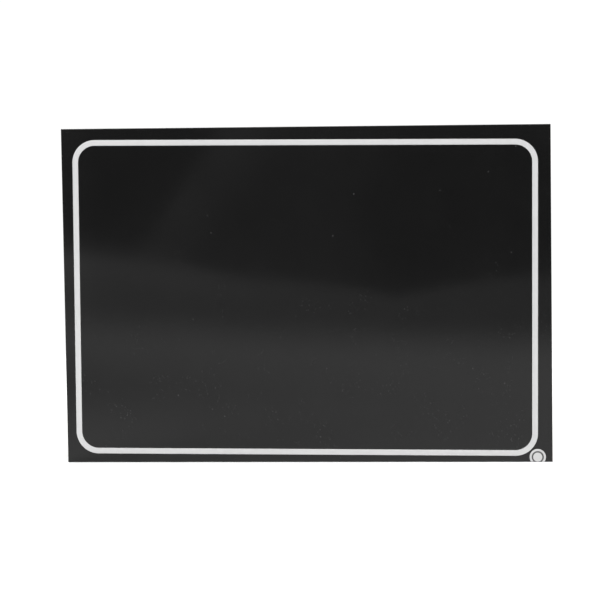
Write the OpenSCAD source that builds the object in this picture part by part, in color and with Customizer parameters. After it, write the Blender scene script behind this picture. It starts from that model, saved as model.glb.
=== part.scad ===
// Peel-and-stick door kick plate: a gloss sheet with a printed-film border line, a small round
// label, and five strips of double-sided foam tape under release liners.
// X is the width, +Z is up, the face looks towards -Y, and the door is on the +Y side.
// The origin is the centre of the plane that goes against the door.

/* [Sheet] */
// Width of the sheet (16 in)
sheet_w = 406; // [300:1:900]
// Height of the sheet (11 in)
sheet_h = 280; // [200:1:400]
// Thickness of the sheet (1/8 in nominal)
sheet_t = 3; // [1.5:0.1:6]
// Width of the small bevel that breaks the front edges
edge_break = 0.3; // [0.1:0.1:1]

/* [Border line] */
// Outer width of the line
line_outer_w = 386.3; // [250:0.1:880]
// Outer height of the line
line_outer_h = 263.1; // [150:0.1:380]
// Width of the line itself (3/16 in)
line_w = 4.7; // [2:0.1:12]
// Outer radius of the line's corners (3/4 in nominal)
line_r = 18.8; // [13:0.1:40]
// Thickness of the film
film_t = 0.1; // [0.05:0.01:0.3]
// How far the line sits to the right of the sheet's centre (negative is to the left)
line_shift_x = -1.4; // [-3:0.1:3]
// How far the line sits above the sheet's centre (negative is below)
line_shift_z = -2.1; // [-3:0.1:3]
// How far the line is turned out of square, clockwise from the front, in degrees
line_skew = 0.385; // [-0.5:0.005:0.5]

/* [Corner label] */
// Diameter of the label
label_d = 13.5; // [8:0.1:20]
// Distance of its centre from the sheet's right edge
label_from_right = 12.3; // [10:0.1:30]
// Distance of its centre from the sheet's bottom edge, so that the edge trims it
label_from_bottom = 4.1; // [3:0.1:12]

/* [Foam tape] */
// Width of each strip (3/4 in)
tape_w = 19; // [10:0.5:30]
// Thickness of the foam
tape_t = 1.1; // [0.5:0.1:2]
// Distance from the sheet's edge to the outer strips
tape_inset = 6; // [3:0.5:15]
// Gap between the ends of one strip and the side of the next
tape_gap = 5; // [4:0.5:12]

/* [Release liner] */
// Thickness of the liner
liner_t = 0.1; // [0.05:0.01:0.2]
// How far the liner's lift edge stands past the tape
liner_lip = 3; // [0:0.5:3.5]

/* [Hidden] */
$fn = 64;

// Depths along Y, from the door outwards.
tape_back = -liner_t;
sheet_back = tape_back - tape_t;
sheet_front = sheet_back - sheet_t;

// Strips along X sit at the top, middle and bottom, and strips along Z at the sides.
long_strip = sheet_w - 2 * tape_inset;
row_z = sheet_h / 2 - tape_inset - tape_w / 2;
column_x = sheet_w / 2 - tape_inset - tape_w / 2;
side_strip = 2 * (row_z - tape_w / 2 - tape_gap);
middle_strip = 2 * (column_x - tape_w / 2 - tape_gap);

// A box given by its X and Z middle and size, between two depths along Y.
module slab(x, z, w, h, y_from, y_to) {
    translate([x - w / 2, y_from, z - h / 2]) cube([w, y_to - y_from, h]);
}

// The cross-section of the sheet across one of its two long directions: depth against span.
module broken_edge_section(span) {
    half = span / 2;
    polygon([[-half, sheet_back], [half, sheet_back], [half, sheet_front + edge_break],
             [half - edge_break, sheet_front], [-half + edge_break, sheet_front],
             [-half, sheet_front + edge_break]]);
}

// A rectangle with true arcs for corners, on the XY plane.
module rounded_rectangle(w, h, r) {
    square([w - 2 * r, h], center = true);
    square([w, h - 2 * r], center = true);
    for (sx = [-1, 1], sy = [-1, 1])
        translate([sx * (w / 2 - r), sy * (h / 2 - r)]) circle(r);
}

// Stands a flat outline up on the face of the sheet, one film thickness proud of it.
module film_on_face() {
    translate([0, sheet_front, 0]) rotate([90, 0, 0]) linear_extrude(film_t) children();
}

// The sheet is where two such sections cross, one drawn out along Z and one along X. For the
// second, rotate(90) and mirror() turn the span upright and keep the front towards -Y.
module face_sheet() {
    color([0.07, 0.07, 0.07]) intersection() {
        translate([0, 0, -sheet_h / 2]) linear_extrude(sheet_h) broken_edge_section(sheet_w);
        translate([-sheet_w / 2, 0, 0]) rotate([90, 0, 90]) linear_extrude(sheet_w)
            rotate(90) mirror([0, 1, 0]) broken_edge_section(sheet_h);
    }
}

module border_line() {
    color([0.85, 0.85, 0.85]) translate([line_shift_x, 0, line_shift_z]) rotate([0, line_skew, 0])
        film_on_face() difference() {
            rounded_rectangle(line_outer_w, line_outer_h, line_r);
            rounded_rectangle(line_outer_w - 2 * line_w, line_outer_h - 2 * line_w, line_r - line_w);
        }
}

module corner_label() {
    color([0.8, 0.8, 0.8]) film_on_face() intersection() {
        translate([sheet_w / 2 - label_from_right, label_from_bottom - sheet_h / 2])
            circle(d = label_d);
        square([sheet_w, sheet_h - 2 * edge_break], center = true);
    }
}

module tape(x, z, w, h) {
    color([0.45, 0.45, 0.46]) slab(x, z, w, h, sheet_back, tape_back);
}

// A liner covers its strip and stands past one side of it, which side_x and side_z point at: one
// of them is -1 or 1 and the other is 0.
module liner(x, z, w, h, side_x, side_z) {
    color([0.82, 0.72, 0.55])
        slab(x + side_x * liner_lip / 2, z + side_z * liner_lip / 2,
             w + abs(side_x) * liner_lip, h + abs(side_z) * liner_lip, tape_back, 0);
}

module tape_top() tape(0, row_z, long_strip, tape_w);
module tape_bottom() tape(0, -row_z, long_strip, tape_w);
module tape_left() tape(-column_x, 0, tape_w, side_strip);
module tape_right() tape(column_x, 0, tape_w, side_strip);
module tape_middle() tape(0, 0, middle_strip, tape_w);

module liner_top() liner(0, row_z, long_strip, tape_w, 0, -1);
module liner_bottom() liner(0, -row_z, long_strip, tape_w, 0, 1);
module liner_left() liner(-column_x, 0, tape_w, side_strip, 1, 0);
module liner_right() liner(column_x, 0, tape_w, side_strip, -1, 0);
module liner_middle() liner(0, 0, middle_strip, tape_w, 0, -1);

face_sheet();
border_line();
corner_label();
tape_top();
tape_bottom();
tape_left();
tape_right();
tape_middle();
liner_top();
liner_bottom();
liner_left();
liner_right();
liner_middle();
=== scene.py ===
"""Looks of a peel-and-stick door kick plate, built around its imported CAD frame.

Everything is in metres in the frame's own axes: X is the plate's width, Z is up, the gloss face
looks towards -Y, and the door side is +Y.
"""
import math
import random

import bmesh
import bpy
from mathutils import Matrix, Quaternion, Vector


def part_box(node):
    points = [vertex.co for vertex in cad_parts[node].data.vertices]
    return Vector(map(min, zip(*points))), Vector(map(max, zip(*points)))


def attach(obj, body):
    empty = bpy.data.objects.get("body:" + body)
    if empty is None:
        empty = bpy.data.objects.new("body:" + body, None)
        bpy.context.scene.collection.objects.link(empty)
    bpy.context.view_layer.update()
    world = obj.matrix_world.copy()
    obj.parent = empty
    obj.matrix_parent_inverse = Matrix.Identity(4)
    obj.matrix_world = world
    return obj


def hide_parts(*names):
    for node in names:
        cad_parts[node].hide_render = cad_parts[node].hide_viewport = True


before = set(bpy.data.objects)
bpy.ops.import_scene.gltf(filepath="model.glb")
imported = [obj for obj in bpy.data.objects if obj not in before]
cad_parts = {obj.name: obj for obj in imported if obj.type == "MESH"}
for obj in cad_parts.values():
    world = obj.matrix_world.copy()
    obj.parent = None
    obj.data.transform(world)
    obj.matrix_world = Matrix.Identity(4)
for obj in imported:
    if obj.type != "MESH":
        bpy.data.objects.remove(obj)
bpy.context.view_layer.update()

MM = 0.001
STRIPS = ("top", "bottom", "left", "right", "middle")

# Camera: an orbit round a point near the middle of the face.
CAMERA_AZIMUTH = math.radians(5.165)
CAMERA_ELEVATION = math.radians(5.904)
CAMERA_ROLL = math.radians(-0.842)
CAMERA_DISTANCE = 2.55
CAMERA_AIM_X, CAMERA_AIM_Z = -5.35 * MM, -3.9 * MM
CAMERA_LENS_MM = 184.2
CAMERA_SENSOR_MM = 36

# Edges that bend more than this show as sharp.
SHARP_BEND = math.radians(50)

# Sheet: its front edge is rounded, and its back edge is just broken.
SHEET_EDGE_RADIUS, SHEET_FRONT_STEPS = 0.3 * MM, 5
SHEET_BACK_BREAK, SHEET_BACK_STEPS = 0.12 * MM, 3
SHEET_CELL = 5 * MM
SHEET_EDGE_MARGIN = 0.25 * MM
SHEET_WAVE_SHORTEST, SHEET_WAVE_LONGEST = 90 * MM, 260 * MM
SHEET_WAVE_HEIGHT = 0.008 * MM

# Border line
LINE_OUTER_W, LINE_OUTER_H = 386.3 * MM, 263.1 * MM
LINE_WIDTH = 4.7 * MM
LINE_OUTER_RADIUS = 18.8 * MM
LINE_SKEW = math.radians(0.385)
LINE_STEP, LINE_CORNER_STEPS = 6 * MM, 28

# Both films have a rounded edge. The bend is how far in and down the middle of its round lies.
FILM_EDGE_RADIUS = 0.04 * MM
FILM_EDGE_BEND = 0.3 * FILM_EDGE_RADIUS

# Label: the loops of its mesh inside and outside the printed ring, and the points round each
LABEL_RING_MIDDLE, LABEL_RING_WIDTH = 4.4 * MM, 1.3 * MM
LABEL_INNER_LOOPS, LABEL_OUTER_LOOP = [1.5 * MM, 3 * MM], 6 * MM
LABEL_AROUND = 96

# Foam tape: its cut sides swell, and are ragged in a pattern that slants from front to back.
FOAM_BULGE, FOAM_LEVELS = 0.12 * MM, 6
FOAM_CELL, FOAM_END_MARGIN = 2.2 * MM, 0.5 * MM
FOAM_RAG, FOAM_RAG_SHORTEST, FOAM_RAG_LONGEST = 0.05 * MM, 2.5 * MM, 30 * MM
FOAM_RAG_SLANT = 3 * MM

# Paper that covers the tape: its lip curls in by more in some places than in others.
PAPER_CELL, PAPER_END_MARGIN = 1.6 * MM, 0.4 * MM
PAPER_EDGE = 0.02 * MM
PAPER_RAG, PAPER_RAG_SHORTEST, PAPER_RAG_LONGEST = 0.06 * MM, 8 * MM, 60 * MM
PAPER_LIP = 3 * MM
PAPER_CURL, PAPER_CURL_POWER = 0.5 * MM, 1.6
FLUTTER_SHORTEST, FLUTTER_LONGEST = 25 * MM, 120 * MM
FLUTTER_MEAN, FLUTTER_SWING = 0.55, 0.35

# Hollows that the paper and the foam under it share
DENT_SHORTEST, DENT_LONGEST = 16 * MM, 60 * MM
DENT_HEIGHT, DENT_SOFTNESS = 0.10 * MM, 0.03 * MM

# Shades of the two films
LINE_SHADE, LABEL_SHADE = 0.565, 0.56

# Softboxes: name, place, the point it faces, width, height and watts
SOFTBOXES = (
    ("key", (0.65, -1.1, 2.2), (0.1, -0.35, -0.14), 2.3, 1.9, 72),
    ("fill", (-0.9, -2.1, 0.95), (0, -0.1, 0), 1.4, 1.0, 22),
    ("rear", (-0.8, 1.5, 1.3), (0, 0.2, -0.1), 1.4, 1.2, 32),
)

# Floor that the camera sees: it fades into a white surround.
FLOOR_SHADE = 0.98
FLOOR_SOLID, FLOOR_FADED = 0.45, 0.95
SURROUND_RADIUS, SURROUND_GLOW = 12, 1.05

# Table that the gloss face mirrors: how far out it starts to fade and ends, how its front edge runs, and
# its painted shade near the plate and farther out, with the slant of each from left to right.
TABLE_SOLID, TABLE_FADED = 0.66, 1.12
TABLE_SKEW, TABLE_BOW = 0.27, -0.6
TABLE_NEAR_SHADE, TABLE_FAR_SHADE, TABLE_SHADE_FAR = 0.70, 0.50, 0.45
TABLE_NEAR_SLANT, TABLE_FAR_SLANT = 0.58, 0.12
TABLE_SLANT_NEAR, TABLE_SLANT_FAR = 0.2, 0.8
TABLE_LIFT = 0.5 * MM

# Room that the gloss face mirrors, in directions from the plate: side is x and rise is z over the
# level distance. It is paler below a V-shaped edge, and palest in a band just under it.
TIP_SIDE, TIP_RISE = -0.0565, -0.1036
EDGE_SLOPE_LEFT, EDGE_CURVE_RIGHT, EDGE_BLUR = 0.172, 0.030, 0.002
BELOW_LEFT, BELOW_RIGHT, BELOW_GLOW_LEFT, BELOW_GLOW_RIGHT = -0.13, -0.02, 0.435, 0.358
BAND_TOP, BAND_BOTTOM, BAND_GLOW = 0.004, 0.010, 0.102
BAND_THINS, BAND_THIN, BAND_THIN_SHARE = -0.125, -0.095, 0.2
# Above the edge it is dark, with a leaning beam, a fainter wash to the beam's right, and a little
# more light near the edge and at the top.
ABOVE_GLOW = 0.146
BEAM_SIDE, BEAM_LEAN, BEAM_BLUR = -0.0812, 0.717, 0.004
BEAM_CORE, BEAM_END, BEAM_GLOW = 0.006, 0.026, 0.083
WASH_FADES, WASH_ENDS, WASH_GLOW = -0.080, -0.055, 0.052
EDGE_GLOW_REACH, EDGE_GLOW = 0.020, 0.019
TOP_STARTS, TOP_FULL, TOP_GLOW = -0.057, -0.048, 0.026
# At the far left all of it is brighter.
LEFT_FULL, LEFT_ENDS, LEFT_GAIN = -0.172, -0.150, 1.4


# ---------------------------------------------------------------- shapes

def wave_terms(seed, count, shortest, longest, height):
    """Sines in random directions whose heights grow with their length, as a sheet's waviness does."""
    rng = random.Random(seed)
    terms = []
    for _ in range(count):
        length = rng.uniform(shortest, longest)
        angle, phase = rng.uniform(0, math.tau), rng.uniform(0, math.tau)
        k = math.tau / length
        terms.append((k * math.cos(angle), k * math.sin(angle), phase, height * length / longest))
    return terms


def wave(terms, x, z):
    return sum(a * math.sin(kx * x + kz * z + phase) for kx, kz, phase, a in terms)


SHEET_WAVES = wave_terms(4, 7, SHEET_WAVE_SHORTEST, SHEET_WAVE_LONGEST, SHEET_WAVE_HEIGHT)


def with_the_sheet(point):
    """Carries a point of the sheet, or of a film on it, along with the sheet's slight waviness."""
    return Vector((point.x, point.y + wave(SHEET_WAVES, point.x, point.z), point.z))


def new_piece(name, bm, materials, slot, *replaced):
    """Turns bm into an object that rides on the root and stands for the CAD nodes named."""
    bmesh.ops.recalc_face_normals(bm, faces=bm.faces)
    mesh = bpy.data.meshes.new(name)
    bm.to_mesh(mesh)
    bm.free()
    for material in materials:
        mesh.materials.append(material)
    mesh.shade_smooth()
    mesh.set_sharp_from_angle(angle=SHARP_BEND)
    piece = bpy.data.objects.new(name, mesh)
    bpy.context.scene.collection.objects.link(piece)
    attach(piece, "root")
    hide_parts(*replaced)
    return piece


def steps(low, high, cell, margin):
    """Grid lines from low to high about a cell apart, with one more line a margin in from each end."""
    count = max(1, round((high - low - 2 * margin) / cell))
    inner = [low + margin + (high - low - 2 * margin) * i / count for i in range(count + 1)]
    return [low, *inner, high]


def rim_of(columns, rows, corner_steps=4):
    """The way round a grid: (column, row, outward direction), with each corner repeated on its arc."""
    last_x, last_z = columns - 1, rows - 1
    sides = (
        ([(i, 0) for i in range(columns)], -90),
        ([(last_x, j) for j in range(rows)], 0),
        ([(i, last_z) for i in reversed(range(columns))], 90),
        ([(0, j) for j in reversed(range(rows))], 180),
    )
    way = []
    for spots, angle in sides:
        turns = [(*spot, angle) for spot in spots]
        turns += [(*spots[-1], angle + 90 * k / corner_steps) for k in range(1, corner_steps)]
        for i, j, degrees in turns:
            a = math.radians(degrees)
            way.append((i, j, Vector((math.cos(a), 0, math.sin(a)))))
    return way


def stitch(bm, loop_a, loop_b, material):
    """Joins two loops of equally many vertices. Where one repeats a vertex, the face is a triangle."""
    for i in range(len(loop_a)):
        j = (i + 1) % len(loop_a)
        corners = []
        for vertex in (loop_a[i], loop_a[j], loop_b[j], loop_b[i]):
            if vertex not in corners:
                corners.append(vertex)
        if len(corners) > 2:
            bm.faces.new(corners).material_index = material


def profiled_slab(low, high, reach, profile, back_material, cell, margin, shift):
    """A closed slab between two corners. Its two level faces stop a reach short of its sides, and
    profile leads round its edge from front to back in (inset, depth, material) steps. shift moves
    each point."""
    xs = steps(low.x + reach, high.x - reach, cell, margin)
    zs = steps(low.z + reach, high.z - reach, cell, margin)
    way = rim_of(len(xs), len(zs))
    bm = bmesh.new()

    def level_face(depth, material):
        grid = [[bm.verts.new(shift(Vector((x, depth, z)))) for z in zs] for x in xs]
        for i in range(len(xs) - 1):
            for j in range(len(zs) - 1):
                corners = (grid[i][j], grid[i + 1][j], grid[i + 1][j + 1], grid[i][j + 1])
                bm.faces.new(corners).material_index = material
        return [grid[i][j] for i, j, _ in way]

    previous = level_face(low.y, 0)
    for inset, depth, material in profile:
        spots = [Vector((xs[i], depth, zs[j])) + out * (reach - inset) for i, j, out in way]
        loop = [bm.verts.new(shift(spot)) for spot in spots]
        stitch(bm, previous, loop, material)
        previous = loop
    stitch(bm, previous, level_face(high.y, back_material), back_material)
    return bm


def quarter_turn(step_count):
    """Angles from 0 to a right angle, both included."""
    return [math.pi / 2 * k / step_count for k in range(step_count + 1)]


def sheet_piece(materials):
    """The sheet: gloss front and rounded front edge (0), sawn sides (1), grained back (2)."""
    low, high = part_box("face_sheet")
    radius, broken = SHEET_EDGE_RADIUS, SHEET_BACK_BREAK
    front_turn, back_turn = quarter_turn(SHEET_FRONT_STEPS)[1:], quarter_turn(SHEET_BACK_STEPS)
    profile = [(radius * (1 - math.sin(a)), low.y + radius * (1 - math.cos(a)), 0) for a in front_turn]
    profile += [(broken * (1 - math.cos(a)), high.y - broken * (1 - math.sin(a)), 1) for a in back_turn]
    bm = profiled_slab(low, high, radius, profile, 2, SHEET_CELL, SHEET_EDGE_MARGIN, with_the_sheet)
    return new_piece("gloss_sheet", bm, materials, "gloss_black_sheet", "face_sheet")


def rounded_path(width, height, radius, straight_step, corner_steps):
    """The way round a rounded rectangle: (point, outward direction) pairs on the XZ plane."""
    half_x, half_z = width / 2 - radius, height / 2 - radius
    corners = ((half_x, -half_z, -90), (half_x, half_z, 0), (-half_x, half_z, 90), (-half_x, -half_z, 180))
    path = []
    for index, (cx, cz, start) in enumerate(corners):
        for k in range(corner_steps + 1):
            a = math.radians(start + 90 * k / corner_steps)
            out = Vector((math.cos(a), 0, math.sin(a)))
            path.append((Vector((cx, 0, cz)) + out * radius, out))
        nx, nz, _ = corners[(index + 1) % 4]
        begin = path[-1][0]
        end = Vector((nx, 0, nz)) + out * radius
        count = round((end - begin).length / straight_step)
        path += [(begin.lerp(end, k / count), out) for k in range(1, count)]
    return path


def line_piece(material):
    """The border line: a flat film with soft edges, laid a little out of square with the sheet."""
    low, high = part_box("border_line")
    middle = (low + high) / 2
    edge, bend = FILM_EDGE_RADIUS, FILM_EDGE_BEND
    half = LINE_WIDTH / 2
    left_side = [(-half, high.y), (-half, low.y + edge), (-half + bend, low.y + bend),
                 (-half + edge, low.y)]
    across = left_side + [(half * f, low.y) for f in (-0.5, 0, 0.5)]
    across += [(-u, y) for u, y in reversed(left_side)]
    across += [(half * f, high.y) for f in (0.5, 0, -0.5)]
    path = rounded_path(LINE_OUTER_W - LINE_WIDTH, LINE_OUTER_H - LINE_WIDTH,
                        LINE_OUTER_RADIUS - half, LINE_STEP, LINE_CORNER_STEPS)
    turn = Quaternion((0, 1, 0), LINE_SKEW)
    bm = bmesh.new()
    loops = []
    for u, y in across:
        spots = [turn @ (point + out * u) for point, out in path]
        spots = [Vector((spot.x + middle.x, y, spot.z + middle.z)) for spot in spots]
        loops.append([bm.verts.new(with_the_sheet(spot)) for spot in spots])
    for index, loop in enumerate(loops):
        stitch(bm, loop, loops[(index + 1) % len(loops)], 0)
    return new_piece("line_film", bm, [material], "silver_film", "border_line")


def label_piece(materials):
    """The round corner label: film (0) with one plain printed ring (1), trimmed level at the bottom."""
    low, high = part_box("corner_label")
    radius = (high.x - low.x) / 2
    middle = Vector(((low.x + high.x) / 2, 0, high.z - radius))
    edge, bend = FILM_EDGE_RADIUS, FILM_EDGE_BEND
    ring_in, ring_out = (LABEL_RING_MIDDLE + s * LABEL_RING_WIDTH / 2 for s in (-1, 1))
    level = [*LABEL_INNER_LOOPS, ring_in, ring_out, LABEL_OUTER_LOOP, radius - edge]
    loops = [(r, low.y) for r in level] + [(radius - bend, low.y + bend), (radius, low.y + edge)]
    turns = [math.tau * k / LABEL_AROUND for k in range(LABEL_AROUND)]
    bm = bmesh.new()
    centre = bm.verts.new(middle + Vector((0, low.y, 0)))
    previous = [centre] * LABEL_AROUND
    for r, y in loops:
        loop = [bm.verts.new(middle + Vector((r * math.cos(a), y, r * math.sin(a)))) for a in turns]
        stitch(bm, previous, loop, 1 if r == ring_out else 0)
        previous = loop
    rim = [bm.verts.new(Vector((v.co.x, high.y, v.co.z))) for v in previous]
    stitch(bm, previous, rim, 0)
    bm.faces.new(rim)
    cut = bmesh.ops.bisect_plane(
        bm, geom=bm.verts[:] + bm.edges[:] + bm.faces[:],
        plane_co=(0, 0, low.z), plane_no=(0, 0, -1), clear_outer=True)
    edges = [g for g in cut["geom_cut"] if isinstance(g, bmesh.types.BMEdge)]
    bmesh.ops.contextual_create(bm, geom=edges)
    for vertex in bm.verts:
        vertex.co = with_the_sheet(vertex.co)
    return new_piece("label_disc", bm, materials, "label_film", "corner_label")


def dent(terms, x, z):
    """A wave that only goes down: soft hollows in a surface that is otherwise level."""
    return -DENT_SOFTNESS * math.log1p(math.exp(-wave(terms, x, z) / DENT_SOFTNESS))


def ragged(seed, shortest, longest, height):
    """A cut edge's unevenness, as a small sideways move that depends on the place alone."""
    in_x, in_z = (wave_terms(seed + k, 8, shortest, longest, height) for k in (0, 1))
    return lambda x, z: Vector((wave(in_x, x, z), 0, wave(in_z, x, z)))


def tape_piece(strip, dents, seed, material):
    """A strip of foam whose sides swell a little, pressed down at the back by its paper's hollows."""
    low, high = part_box(f"tape_{strip}")
    depth = high.y - low.y
    rag = ragged(seed, FOAM_RAG_SHORTEST, FOAM_RAG_LONGEST, FOAM_RAG)

    def shift(point):
        share = (point.y - low.y) / depth
        along = share * FOAM_RAG_SLANT
        sink = dent(dents, point.x, point.z) * share
        return point + rag(point.x + along, point.z - along) + Vector((0, sink, 0))

    turns = [math.pi * k / FOAM_LEVELS for k in range(1, FOAM_LEVELS)]
    profile = [(FOAM_BULGE * (1 - math.sin(a)), low.y + depth * a / math.pi, 0) for a in turns]
    bm = profiled_slab(low, high, FOAM_BULGE, profile, 0, FOAM_CELL, FOAM_END_MARGIN, shift)
    return new_piece(f"foam_{strip}", bm, [material], "foam_tape", f"tape_{strip}")


def liner_piece(strip, dents, seed, material):
    """Paper that lies on the foam, hollows with it, and curls in at the lip it is lifted by."""
    low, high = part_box(f"liner_{strip}")
    tape_low, tape_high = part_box(f"tape_{strip}")
    flutter = wave_terms(seed + 50, 5, FLUTTER_SHORTEST, FLUTTER_LONGEST, FLUTTER_SWING)
    rag = ragged(seed + 90, PAPER_RAG_SHORTEST, PAPER_RAG_LONGEST, PAPER_RAG)

    def shift(point):
        past_x = max(tape_low.x - point.x, point.x - tape_high.x, 0)
        past_z = max(tape_low.z - point.z, point.z - tape_high.z, 0)
        lip = min(1, max(past_x, past_z) / PAPER_LIP)
        swing = max(0, FLUTTER_MEAN + wave(flutter, point.x, point.z))
        sink = dent(dents, point.x, point.z) - PAPER_CURL * lip ** PAPER_CURL_POWER * swing
        return point + rag(point.x, point.z) + Vector((0, sink, 0))

    profile = [(0, low.y + PAPER_EDGE, 0), (0, high.y - PAPER_EDGE, 0)]
    bm = profiled_slab(low, high, PAPER_EDGE, profile, 0, PAPER_CELL, PAPER_END_MARGIN, shift)
    return new_piece(f"paper_{strip}", bm, [material], "liner_paper", f"liner_{strip}")


# ---------------------------------------------------------------- nodes

class Nodes:
    """Short calls for building a node tree. A value is a number, a tuple or another node's output."""

    def __init__(self, tree):
        self.tree = tree
        self.texture = self.add("ShaderNodeTexCoord")

    def add(self, kind, inputs=None, **settings):
        node = self.tree.nodes.new(kind)
        for key, value in settings.items():
            setattr(node, key, value)
        for key, value in (inputs or {}).items():
            self.put(node.inputs[key], value)
        return node

    def put(self, socket, value):
        if isinstance(value, bpy.types.NodeSocket):
            self.tree.links.new(value, socket)
        else:
            socket.default_value = value

    def math(self, operation, a, b=0.0, c=0.0):
        return self.add("ShaderNodeMath", {0: a, 1: b, 2: c}, operation=operation).outputs[0]

    def total(self, *values):
        result = values[0]
        for value in values[1:]:
            result = self.math("ADD", result, value)
        return result

    def smooth(self, value, low, high, out_low=0.0, out_high=1.0):
        """A soft step: out_low up to low, out_high from high on."""
        inputs = {"Value": value, "From Min": low, "From Max": high, "To Min": out_low, "To Max": out_high}
        return self.add("ShaderNodeMapRange", inputs, interpolation_type="SMOOTHSTEP").outputs[0]

    def mix(self, share, a, b):
        node = self.add("ShaderNodeMix", data_type="RGBA")
        self.put(node.inputs[0], share)
        self.put(node.inputs[6], a)
        self.put(node.inputs[7], b)
        return node.outputs[2]

    def parts(self, vector):
        return self.add("ShaderNodeSeparateXYZ", {0: vector}).outputs

    def vector(self, x=0.0, y=0.0, z=0.0):
        return self.add("ShaderNodeCombineXYZ", {0: x, 1: y, 2: z}).outputs[0]

    def length(self, x, y):
        return self.math("SQRT", self.math("MULTIPLY_ADD", x, x, self.math("MULTIPLY", y, y)))

    def noise(self, vector, size, detail=2.0, roughness=0.5, distortion=0.0):
        """Soft blotches about size across, which hold finer ones as detail grows."""
        inputs = {"Vector": vector, "Scale": 1 / size, "Detail": detail, "Roughness": roughness,
                  "Distortion": distortion}
        return self.add("ShaderNodeTexNoise", inputs).outputs[0]

    def stretched(self, x, z, stretch):
        """A flat place whose patterns come out longer along x by the stretch given."""
        return self.vector(self.math("MULTIPLY", x, 1 / stretch), z)

    def specks(self, vector, spacing, share, radius):
        """Scattered dots up to a radius, one in a share of the cells of a spacing: 1 on a dot.

        The chance is a cell's blue, because its red and green only repeat where its point lies."""
        inputs = {"Vector": vector, "Scale": 1 / spacing}
        cell = self.add("ShaderNodeTexVoronoi", inputs, voronoi_dimensions="2D")
        chance = self.parts(cell.outputs["Color"])[2]
        most = radius / spacing
        reach = self.math("MULTIPLY", self.math("SUBTRACT", share, chance), most / share)
        inside = self.math("SUBTRACT", reach, cell.outputs["Distance"])
        return self.smooth(inside, 0, most * 0.4)


def grey(value, alpha=1.0):
    return (value, value, value, alpha)


class Recipe(Nodes):
    """A material with one Principled BSDF."""

    def __init__(self, name, **constants):
        self.material = bpy.data.materials.new(name)
        self.material.use_nodes = True
        super().__init__(self.material.node_tree)
        self.shader = self.tree.nodes["Principled BSDF"]
        self.place = self.texture.outputs["Object"]
        self.x, self.y, self.z = self.parts(self.place)
        self.face = self.vector(self.x, self.z)
        for key, value in constants.items():
            self.shader.inputs[key.replace("_", " ")].default_value = value

    def finish(self, color, roughness, height, lift):
        """Feeds the shader; height is a bump pattern from 0 to 1 that stands lift metres high."""
        self.put(self.shader.inputs["Base Color"], color)
        self.put(self.shader.inputs["Roughness"], roughness)
        bump = self.add("ShaderNodeBump", {"Height": height, "Distance": lift, "Strength": 1.0})
        self.put(self.shader.inputs["Normal"], bump.outputs[0])
        return self.material


# ---------------------------------------------------------------- materials

def gloss_black():
    """Polished black plastic: faint smears, and fine dust that gathers in drifts lower down."""
    m = Recipe("gloss_black_plastic", Specular_IOR_Level=0.5)
    drifts = m.smooth(m.noise(m.face, 30 * MM, 3, 0.6), 0.46, 0.66, 0.06, 1)
    low_down = m.smooth(m.z, -120 * MM, 100 * MM, 1, 0.12)
    fine = m.specks(m.face, 2.2 * MM, 0.42, 0.58 * MM)
    dust = m.math("MULTIPLY", fine, m.math("MULTIPLY", drifts, low_down))
    lint = m.specks(m.face, 16 * MM, 0.09, 0.75 * MM)
    haze = m.noise(m.face, 45 * MM, 4, 0.6)
    clean = m.mix(m.smooth(haze, 0.3, 0.7), grey(0.0025), grey(0.0034))
    color = m.mix(lint, m.mix(dust, clean, grey(0.038)), grey(0.040))
    smear = m.noise(m.stretched(m.x, m.z, 3), 45 * MM, 3, 0.55, 0.6)
    dull = m.math("MULTIPLY", m.math("MAXIMUM", dust, lint), 0.3)
    roughness = m.math("ADD", m.smooth(smear, 0.35, 0.75, 0.03, 0.045), dull)
    peel = m.noise(m.face, 4 * MM, 2, 0.5)
    return m.finish(color, roughness, peel, 0.0015 * MM)


def sawn_black():
    """The sheet's cut edges: matt, with fine marks across the thickness and paler scuffs."""
    m = Recipe("sawn_black_plastic", Specular_IOR_Level=0.4)
    along = m.math("ADD", m.x, m.z)
    marks = m.noise(m.vector(along), 0.4 * MM, 3, 0.7)
    patches = m.noise(m.face, 17 * MM, 3, 0.6)
    scuffs = m.smooth(m.noise(m.vector(along, m.y), 5 * MM, 3, 0.65), 0.58, 0.72, 0, 0.5)
    worn = m.mix(m.math("MULTIPLY", marks, patches), grey(0.008), grey(0.05))
    color = m.mix(scuffs, worn, grey(0.09))
    roughness = m.smooth(patches, 0.3, 0.7, 0.38, 0.6)
    return m.finish(color, roughness, marks, 0.02 * MM)


def grained_black():
    """The sheet's back: a fine moulded grain whose pits are darkened with painted shade, a little lint and
    some rubbed, shinier patches.
    """
    m = Recipe("grained_black_plastic", Specular_IOR_Level=0.4)
    grain_and_pit_shade = m.smooth(m.noise(m.face, 0.9 * MM, 2, 0.5), 0.3, 0.7)
    rubbed = m.noise(m.face, 70 * MM, 4, 0.6, 0.4)
    lint = m.specks(m.stretched(m.x, m.z, 2), 14 * MM, 0.12, 0.5 * MM)
    # Painted shade: the grain's pits are coloured darker than its tops.
    clean = m.mix(grain_and_pit_shade, grey(0.010), m.mix(rubbed, grey(0.014), grey(0.026)))
    color = m.mix(m.math("MULTIPLY", lint, 0.3), clean, grey(0.2))
    roughness = m.smooth(rubbed, 0.35, 0.7, 0.62, 0.42)
    return m.finish(color, roughness, grain_and_pit_shade, 0.08 * MM)


def silver_film(name, shade):
    """Light grey satin vinyl with a very fine metallic grain."""
    m = Recipe(name, Specular_IOR_Level=0.45)
    flake = m.noise(m.face, 0.42 * MM, 2, 0.7)
    cloud = m.noise(m.face, 80 * MM, 3, 0.5)
    tone = m.mix(cloud, grey(shade * 0.97), grey(shade * 1.03))
    color = m.mix(m.smooth(flake, 0.35, 0.75, 0, 0.12), tone, grey(shade * 0.6))
    roughness = m.smooth(flake, 0.3, 0.7, 0.34, 0.48)
    return m.finish(color, roughness, flake, 0.004 * MM)


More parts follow.
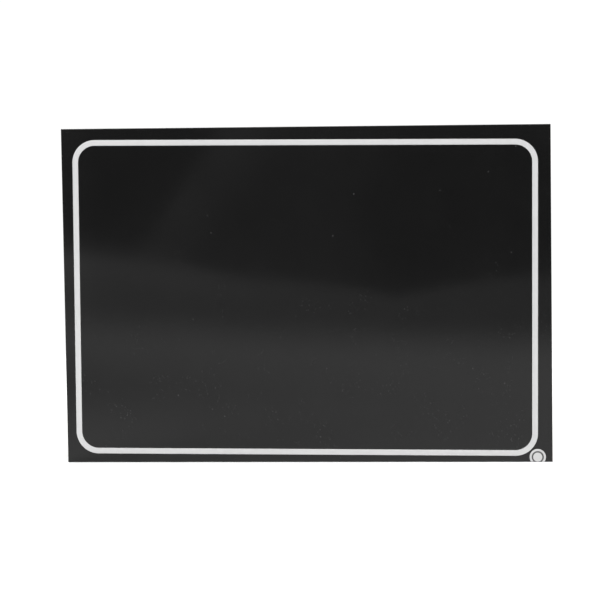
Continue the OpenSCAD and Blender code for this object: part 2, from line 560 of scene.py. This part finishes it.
def label_ink():
    """The label's plain printed ring."""
    m = Recipe("label_ink", Specular_IOR_Level=0.4)
    grain = m.noise(m.face, 0.55 * MM, 3, 0.6)
    color = m.mix(m.smooth(grain, 0.4, 0.8), grey(0.06), grey(0.14))
    return m.finish(color, m.smooth(grain, 0.3, 0.7, 0.4, 0.55), grain, 0.004 * MM)


def foam():
    """Grey closed-cell foam, open where its edges were cut, with painted shade darkening the bottoms of
    its open cells.
    """
    m = Recipe("grey_foam", Specular_IOR_Level=0.25)
    bubbles = m.add("ShaderNodeTexVoronoi", {"Vector": m.place, "Scale": 1 / (0.3 * MM)})
    blotch = m.noise(m.place, 8 * MM, 3, 0.6)
    pits_and_pit_shade = m.smooth(bubbles.outputs["Distance"], 0.15, 0.6)
    # Painted shade: the open cells are coloured darker towards their bottoms.
    color = m.mix(pits_and_pit_shade, grey(0.10), m.mix(blotch, grey(0.2), grey(0.27)))
    return m.finish(color, m.smooth(blotch, 0.3, 0.7, 0.75, 0.92), pits_and_pit_shade, 0.12 * MM)


def liner_paper():
    """Tan kraft paper with a silicone sheen, short fibres and soft creases."""
    m = Recipe("tan_liner_paper", Specular_IOR_Level=0.45)
    fibre = m.noise(m.stretched(m.x, m.z, 4), 0.7 * MM, 4, 0.7, 0.8)
    mottle = m.noise(m.face, 11 * MM, 4, 0.65)
    stain = m.noise(m.face, 90 * MM, 3, 0.5)
    base = m.mix(mottle, (0.40, 0.27, 0.145, 1), (0.55, 0.405, 0.245, 1))
    tinted = m.mix(m.smooth(stain, 0.4, 0.7, 0, 0.35), base, (0.60, 0.47, 0.31, 1))
    color = m.mix(m.smooth(fibre, 0.52, 0.75, 0, 0.5), tinted, (0.30, 0.19, 0.10, 1))
    creases = m.noise(m.face, 18 * MM, 2, 0.5, 1.2)
    height = m.total(m.math("MULTIPLY", creases, 0.9), m.math("MULTIPLY", fibre, 0.03))
    return m.finish(color, m.smooth(mottle, 0.3, 0.7, 0.34, 0.5), height, 0.5 * MM)


# ---------------------------------------------------------------- studio

def camera(aim_y):
    data = bpy.data.cameras.new("camera")
    data.lens = CAMERA_LENS_MM
    data.sensor_width = CAMERA_SENSOR_MM
    data.clip_start, data.clip_end = 0.1, 60
    shot = bpy.data.objects.new("camera", data)
    flat = math.cos(CAMERA_ELEVATION)
    back = Vector((
        math.sin(CAMERA_AZIMUTH) * flat, -math.cos(CAMERA_AZIMUTH) * flat, math.sin(CAMERA_ELEVATION)))
    shot.location = Vector((CAMERA_AIM_X, aim_y, CAMERA_AIM_Z)) + back * CAMERA_DISTANCE
    shot.rotation_mode = "QUATERNION"
    shot.rotation_quaternion = (-back).to_track_quat("-Z", "Y") @ Quaternion((0, 0, 1), CAMERA_ROLL)
    bpy.context.scene.collection.objects.link(shot)
    bpy.context.scene.camera = shot


def softbox(name, place, aim, width, height, watts):
    data = bpy.data.lights.new(name, "AREA")
    data.shape = "RECTANGLE"
    data.size, data.size_y = width, height
    data.energy = watts
    box = bpy.data.objects.new(name, data)
    box.location = place
    box.rotation_mode = "QUATERNION"
    box.rotation_quaternion = (Vector(aim) - Vector(place)).to_track_quat("-Z", "Y")
    box.visible_camera = False
    bpy.context.scene.collection.objects.link(box)


def stage_mesh(name, bm, material, seen_by):
    """A stage object that casts no shadow and that only the rays named in seen_by can meet."""
    mesh = bpy.data.meshes.new(name)
    bm.to_mesh(mesh)
    bm.free()
    mesh.materials.append(material)
    mesh.shade_smooth()
    thing = bpy.data.objects.new(name, mesh)
    for ray in ("camera", "diffuse", "glossy", "transmission", "volume_scatter", "shadow"):
        setattr(thing, f"visible_{ray}", ray in seen_by)
    bpy.context.scene.collection.objects.link(thing)


def stage_nodes(name):
    material = bpy.data.materials.new(name)
    material.use_nodes = True
    return material, Nodes(material.node_tree)


def fading_disc(name, height, radius, seen_by, paint):
    """A level disc that fades away. paint gives its colour and how far it has faded at each place."""
    material, n = stage_nodes(name)
    shader = n.tree.nodes["Principled BSDF"]
    shader.inputs["Roughness"].default_value = 0.9
    shader.inputs["Specular IOR Level"].default_value = 0.1
    x, y, _ = n.parts(n.texture.outputs["Object"])
    color, faded = paint(n, x, y)
    n.put(shader.inputs["Base Color"], color)
    mixer = n.add("ShaderNodeMixShader", {0: faded})
    n.put(mixer.inputs[1], shader.outputs[0])
    n.put(mixer.inputs[2], n.add("ShaderNodeBsdfTransparent").outputs[0])
    n.put(n.tree.nodes["Material Output"].inputs["Surface"], mixer.outputs[0])
    bm = bmesh.new()
    bmesh.ops.create_circle(bm, cap_ends=True, segments=96, radius=radius)
    bmesh.ops.translate(bm, verts=bm.verts, vec=(0, 0, height))
    stage_mesh(name, bm, material, seen_by)


def pale_floor(height):
    def paint(n, x, y):
        return grey(FLOOR_SHADE), n.smooth(n.length(x, y), FLOOR_SOLID, FLOOR_FADED)

    fading_disc("pale_floor", height, FLOOR_FADED, ("camera", "diffuse"), paint)


def mirrored_table(height):
    """The pale table that shows in the gloss face, with painted shade that darkens it farther out and to
    the left.
    """
    def paint(n, x, y):
        bow = n.math("MULTIPLY", n.math("MULTIPLY", x, x), TABLE_BOW)
        forward = n.math("SUBTRACT", n.math("MULTIPLY_ADD", x, TABLE_SKEW, bow), y)
        # Painted shade: the table darkens farther out and towards the left.
        shade = n.smooth(forward, 0, TABLE_SHADE_FAR, TABLE_NEAR_SHADE, TABLE_FAR_SHADE)
        slant = n.smooth(forward, TABLE_SLANT_NEAR, TABLE_SLANT_FAR, TABLE_NEAR_SLANT, TABLE_FAR_SLANT)
        tint = n.math("MULTIPLY_ADD", x, slant, shade)
        return n.vector(tint, tint, tint), n.smooth(forward, TABLE_SOLID, TABLE_FADED)

    fading_disc("mirrored_table", height + TABLE_LIFT, TABLE_FADED * 1.4, ("glossy",), paint)


def white_surround():
    """A white dome that only the camera sees, so that the room behind it can be dim."""
    material, n = stage_nodes("white_surround")
    glow = n.add("ShaderNodeEmission", {"Color": grey(1), "Strength": SURROUND_GLOW})
    n.put(n.tree.nodes["Material Output"].inputs["Surface"], glow.outputs[0])
    bm = bmesh.new()
    bmesh.ops.create_uvsphere(bm, u_segments=48, v_segments=24, radius=SURROUND_RADIUS)
    stage_mesh("white_surround", bm, material, ("camera",))


def edge_depth(n, side, rise):
    """How far a direction is below the V-shaped edge: straight to the left of its tip, and a curve
    that levels out to the right."""
    past_tip = n.math("SUBTRACT", side, TIP_SIDE)
    left_of_tip = n.math("MAXIMUM", n.math("MULTIPLY", past_tip, -1), 0)
    right_of_tip = n.math("SQRT", n.math("MAXIMUM", past_tip, 0))
    edge = n.math("MULTIPLY_ADD", left_of_tip, EDGE_SLOPE_LEFT, TIP_RISE)
    edge = n.math("MULTIPLY_ADD", right_of_tip, EDGE_CURVE_RIGHT, edge)
    return n.math("SUBTRACT", edge, rise)


def glow_below(n, side, depth):
    band = n.smooth(depth, BAND_TOP, BAND_BOTTOM, BAND_GLOW, 0)
    thinned = n.math("MULTIPLY", band, n.smooth(side, BAND_THINS, BAND_THIN, 1, BAND_THIN_SHARE))
    return n.total(n.smooth(side, BELOW_LEFT, BELOW_RIGHT, BELOW_GLOW_LEFT, BELOW_GLOW_RIGHT), thinned)


def glow_above(n, side, rise, depth):
    past_beam = n.math("SUBTRACT", side, n.math("MULTIPLY_ADD", rise, BEAM_LEAN, BEAM_SIDE))
    started = n.smooth(past_beam, -BEAM_BLUR, BEAM_BLUR)
    beam = n.math("MULTIPLY", started, n.smooth(past_beam, BEAM_CORE, BEAM_END, BEAM_GLOW, 0))
    wash = n.math("MULTIPLY", started, n.smooth(side, WASH_FADES, WASH_ENDS, WASH_GLOW, 0))
    near_edge = n.smooth(depth, -EDGE_GLOW_REACH, 0, 0, EDGE_GLOW)
    top = n.smooth(rise, TOP_STARTS, TOP_FULL, 0, TOP_GLOW)
    return n.total(beam, wash, near_edge, top, ABOVE_GLOW)


def dim_room():
    """The room that the gloss face mirrors."""
    world = bpy.data.worlds.new("dim_room")
    bpy.context.scene.world = world
    world.use_nodes = True
    n = Nodes(world.node_tree)
    x, y, z = n.parts(n.texture.outputs["Generated"])
    level = n.length(x, y)
    side = n.math("DIVIDE", x, level)
    rise = n.math("DIVIDE", z, level)
    depth = edge_depth(n, side, rise)
    above = glow_above(n, side, rise, depth)
    step = n.math("SUBTRACT", glow_below(n, side, depth), above)
    glow = n.math("MULTIPLY_ADD", n.smooth(depth, -EDGE_BLUR, EDGE_BLUR), step, above)
    glow = n.math("MULTIPLY", glow, n.smooth(side, LEFT_FULL, LEFT_ENDS, LEFT_GAIN, 1))
    n.put(n.tree.nodes["Background"].inputs["Color"], n.vector(glow, glow, glow))


# ---------------------------------------------------------------- the scene

sheet_low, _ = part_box("face_sheet")
camera(aim_y=sheet_low.y)

sheet_piece([gloss_black(), sawn_black(), grained_black()])
line_piece(silver_film("silver_line_film", LINE_SHADE))
label_piece([silver_film("silver_label_film", LABEL_SHADE), label_ink()])
foam_material, paper_material = foam(), liner_paper()
for number, strip in enumerate(STRIPS):
    strip_dents = wave_terms(70 + number, 8, DENT_SHORTEST, DENT_LONGEST, DENT_HEIGHT)
    tape_piece(strip, strip_dents, 10 * number, foam_material)
    liner_piece(strip, strip_dents, 10 * number + 3, paper_material)

pale_floor(sheet_low.z)
mirrored_table(sheet_low.z)
white_surround()
dim_room()
for row in SOFTBOXES:
    softbox(*row)
bpy.context.scene.view_settings.view_transform = "Standard"
